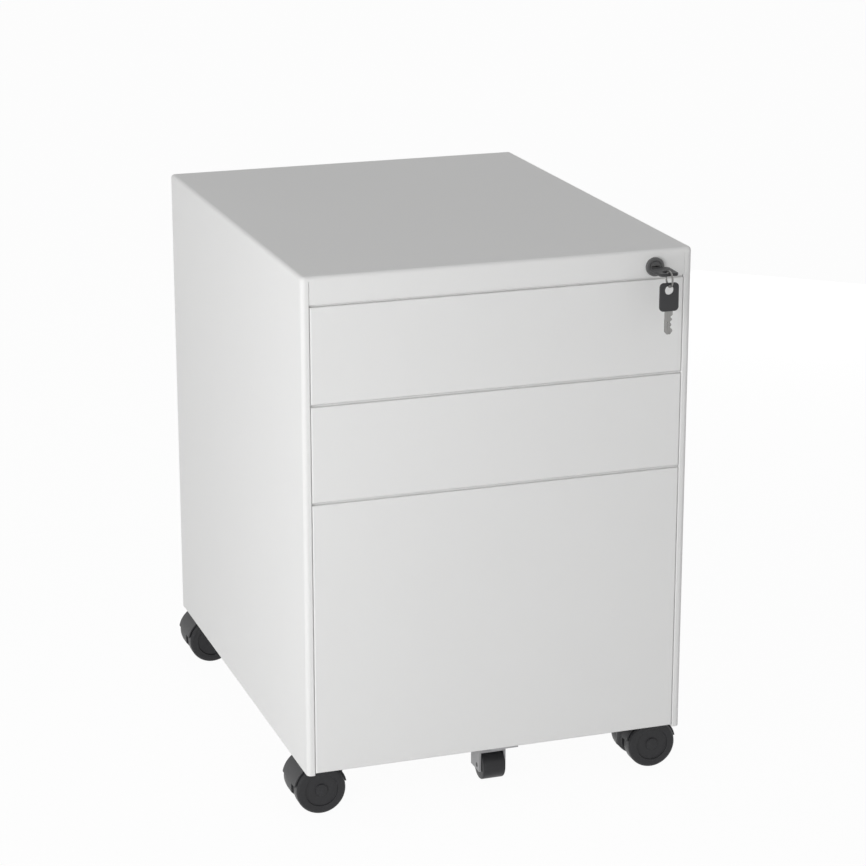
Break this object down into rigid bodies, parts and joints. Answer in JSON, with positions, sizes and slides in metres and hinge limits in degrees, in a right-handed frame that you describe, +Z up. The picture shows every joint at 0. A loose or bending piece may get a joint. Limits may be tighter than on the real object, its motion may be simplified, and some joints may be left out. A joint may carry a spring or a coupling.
{
  "type": "filing cabinet",
  "caption": "Low mobile filing cabinet of painted sheet steel: two box drawers over a file drawer on ball slides, one lock for all drawers, and casters.",
  "frame": {"origin": "on the floor, under the middle of the whole object's box, keys included", "axes": "+X to the right as seen from the front, +Y to the back (the drawers open along -Y), +Z up"},
  "size_m": [0.403, 0.545, 0.546],
  "materials": {
    "painted_sheet": "light grey-white powder coat, satin",
    "zinc_steel": "bright zinc plate",
    "grey_bracket": "mid grey powder coat",
    "black_plastic": "black moulded plastic, matte",
    "wheel_plastic": "black nylon, satin",
    "black_lock": "black-coated zinc die casting",
    "key_steel": "nickel-plated steel"
  },
  "bodies": {
    "cabinet": {"back_panel": "painted_sheet", "base_pan": "painted_sheet", "caster_plates": "zinc_steel", "caster_stems": "zinc_steel", "fasteners": "zinc_steel", "file_left_slide": "zinc_steel", "file_right_slide": "zinc_steel", "left_side_panel": "painted_sheet", "lock_bar_guides": "zinc_steel", "lock_barrel": "black_lock", "lock_nut": "zinc_steel", "lock_rail": "painted_sheet", "middle_left_slide": "zinc_steel", "middle_right_slide": "zinc_steel", "right_side_panel": "painted_sheet", "slide_uprights": "painted_sheet", "top_panel": "painted_sheet", "upper_left_slide": "zinc_steel", "upper_right_slide": "zinc_steel"},
    "fifth_wheel": {"fifth_wheel": "wheel_plastic"},
    "file_drawer": {"fifth_wheel_bracket": "grey_bracket", "file_drawer_front": "painted_sheet", "file_left_runner": "zinc_steel", "file_lock_catch": "zinc_steel", "file_right_runner": "zinc_steel", "file_tray": "painted_sheet", "hanging_file_rails": "zinc_steel"},
    "file_inner_cages": {"file_inner_ball_cages": "zinc_steel"},
    "file_mid_slides": {"file_mid_slides": "zinc_steel"},
    "file_outer_cages": {"file_outer_ball_cages": "zinc_steel"},
    "front_left_caster": {"front_left_caster_hood": "black_plastic"},
    "front_left_wheels": {"front_left_caster_wheels": "wheel_plastic"},
    "front_right_caster": {"front_right_caster_hood": "black_plastic"},
    "front_right_wheels": {"front_right_caster_wheels": "wheel_plastic"},
    "key": {"key_blade": "key_steel", "key_bow": "black_plastic"},
    "key_ring": {"key_ring": "key_steel"},
    "lock_bar": {"lock_bar": "zinc_steel", "lock_bar_arm": "zinc_steel", "lock_bar_fingers": "zinc_steel"},
    "lock_cylinder": {"lock_cam": "zinc_steel", "lock_plug": "black_lock"},
    "middle_cages": {"middle_ball_cages": "zinc_steel"},
    "middle_drawer": {"middle_drawer_front": "painted_sheet", "middle_left_runner": "zinc_steel", "middle_lock_catch": "zinc_steel", "middle_right_runner": "zinc_steel", "middle_tray": "painted_sheet"},
    "rear_left_caster": {"rear_left_caster_hood": "black_plastic"},
    "rear_left_wheels": {"rear_left_caster_wheels": "wheel_plastic"},
    "rear_right_caster": {"rear_right_caster_hood": "black_plastic"},
    "rear_right_wheels": {"rear_right_caster_wheels": "wheel_plastic"},
    "spare_key": {"spare_key_blade": "key_steel", "spare_key_bow": "black_plastic"},
    "upper_cages": {"upper_ball_cages": "zinc_steel"},
    "upper_drawer": {"upper_drawer_front": "painted_sheet", "upper_left_runner": "zinc_steel", "upper_lock_catch": "zinc_steel", "upper_right_runner": "zinc_steel", "upper_tray": "painted_sheet"}
  },
  "joints": [
    {"name": "upper_drawer_slide", "type": "slide", "parent": "cabinet", "child": "upper_drawer", "axis": [0, -1, 0], "range_m": [0, 0.36]},
    {"name": "middle_drawer_slide", "type": "slide", "parent": "cabinet", "child": "middle_drawer", "axis": [0, -1, 0], "range_m": [0, 0.36]},
    {"name": "file_drawer_slide", "type": "slide", "parent": "cabinet", "child": "file_drawer", "axis": [0, -1, 0], "range_m": [0, 0.42]},
    {"name": "upper_cages_slide", "type": "slide", "parent": "cabinet", "child": "upper_cages", "axis": [0, -1, 0], "range_m": [0, 0.18]},
    {"name": "middle_cages_slide", "type": "slide", "parent": "cabinet", "child": "middle_cages", "axis": [0, -1, 0], "range_m": [0, 0.18]},
    {"name": "file_mid_slide", "type": "slide", "parent": "cabinet", "child": "file_mid_slides", "axis": [0, -1, 0], "range_m": [0, 0.21]},
    {"name": "file_outer_cages_slide", "type": "slide", "parent": "cabinet", "child": "file_outer_cages", "axis": [0, -1, 0], "range_m": [0, 0.105]},
    {"name": "file_inner_cages_slide", "type": "slide", "parent": "cabinet", "child": "file_inner_cages", "axis": [0, -1, 0], "range_m": [0, 0.315]},
    {"name": "key_turn", "type": "hinge", "parent": "cabinet", "child": "lock_cylinder", "pos_m": [0.156, -0.22855, 0.5293], "axis": [0, 1, 0], "range_deg": [0, 90]},
    {"name": "lock_bar_slide", "type": "slide", "parent": "cabinet", "child": "lock_bar", "axis": [0, 0, -1], "range_m": [0, 0.0113]},
    {"name": "key_withdraw", "type": "slide", "parent": "lock_cylinder", "child": "key", "axis": [0, -1, 0], "range_m": [0, 0.03]},
    {"name": "key_ring_swing", "type": "hinge", "parent": "key", "child": "key_ring", "pos_m": [0.156, -0.2643, 0.5293], "axis": [-1, 0, 0], "range_deg": [-12, 90]},
    {"name": "spare_key_swing", "type": "hinge", "parent": "key_ring", "child": "spare_key", "pos_m": [0.156, -0.2643, 0.5176], "axis": [0, 1, 0], "range_deg": [-12, 30]},
    {"name": "front_left_swivel", "type": "hinge", "parent": "cabinet", "child": "front_left_caster", "pos_m": [-0.155, -0.18255, 0.061], "axis": [0, 0, 1], "continuous": true},
    {"name": "front_left_wheel_spin", "type": "hinge", "parent": "front_left_caster", "child": "front_left_wheels", "pos_m": [-0.175, -0.18255, 0.025], "axis": [0, 1, 0], "continuous": true},
    {"name": "front_right_swivel", "type": "hinge", "parent": "cabinet", "child": "front_right_caster", "pos_m": [0.155, -0.18255, 0.061], "axis": [0, 0, 1], "continuous": true},
    {"name": "front_right_wheel_spin", "type": "hinge", "parent": "front_right_caster", "child": "front_right_wheels", "pos_m": [0.175, -0.18255, 0.025], "axis": [0, 1, 0], "continuous": true},
    {"name": "rear_left_swivel", "type": "hinge", "parent": "cabinet", "child": "rear_left_caster", "pos_m": [-0.155, 0.24245, 0.061], "axis": [0, 0, 1], "continuous": true},
    {"name": "rear_left_wheel_spin", "type": "hinge", "parent": "rear_left_caster", "child": "rear_left_wheels", "pos_m": [-0.175, 0.24245, 0.025], "axis": [0, 1, 0], "continuous": true},
    {"name": "rear_right_swivel", "type": "hinge", "parent": "cabinet", "child": "rear_right_caster", "pos_m": [0.155, 0.24245, 0.061], "axis": [0, 0, 1], "continuous": true},
    {"name": "rear_right_wheel_spin", "type": "hinge", "parent": "rear_right_caster", "child": "rear_right_wheels", "pos_m": [0.175, 0.24245, 0.025], "axis": [0, 1, 0], "continuous": true},
    {"name": "fifth_wheel_spin", "type": "hinge", "parent": "file_drawer", "child": "fifth_wheel", "pos_m": [0.0085, -0.18355, 0.018], "axis": [1, 0, 0], "continuous": true}
  ],
  "couplings": [
    {"joint": "upper_cages_slide", "follows": "upper_drawer_slide", "ratio": 0.5},
    {"joint": "middle_cages_slide", "follows": "middle_drawer_slide", "ratio": 0.5},
    {"joint": "file_mid_slide", "follows": "file_drawer_slide", "ratio": 0.5},
    {"joint": "file_outer_cages_slide", "follows": "file_drawer_slide", "ratio": 0.25},
    {"joint": "file_inner_cages_slide", "follows": "file_drawer_slide", "ratio": 0.75},
    {"joint": "key_turn", "follows": "lock_bar_slide", "rad_per_m": 138.89}
  ]
}
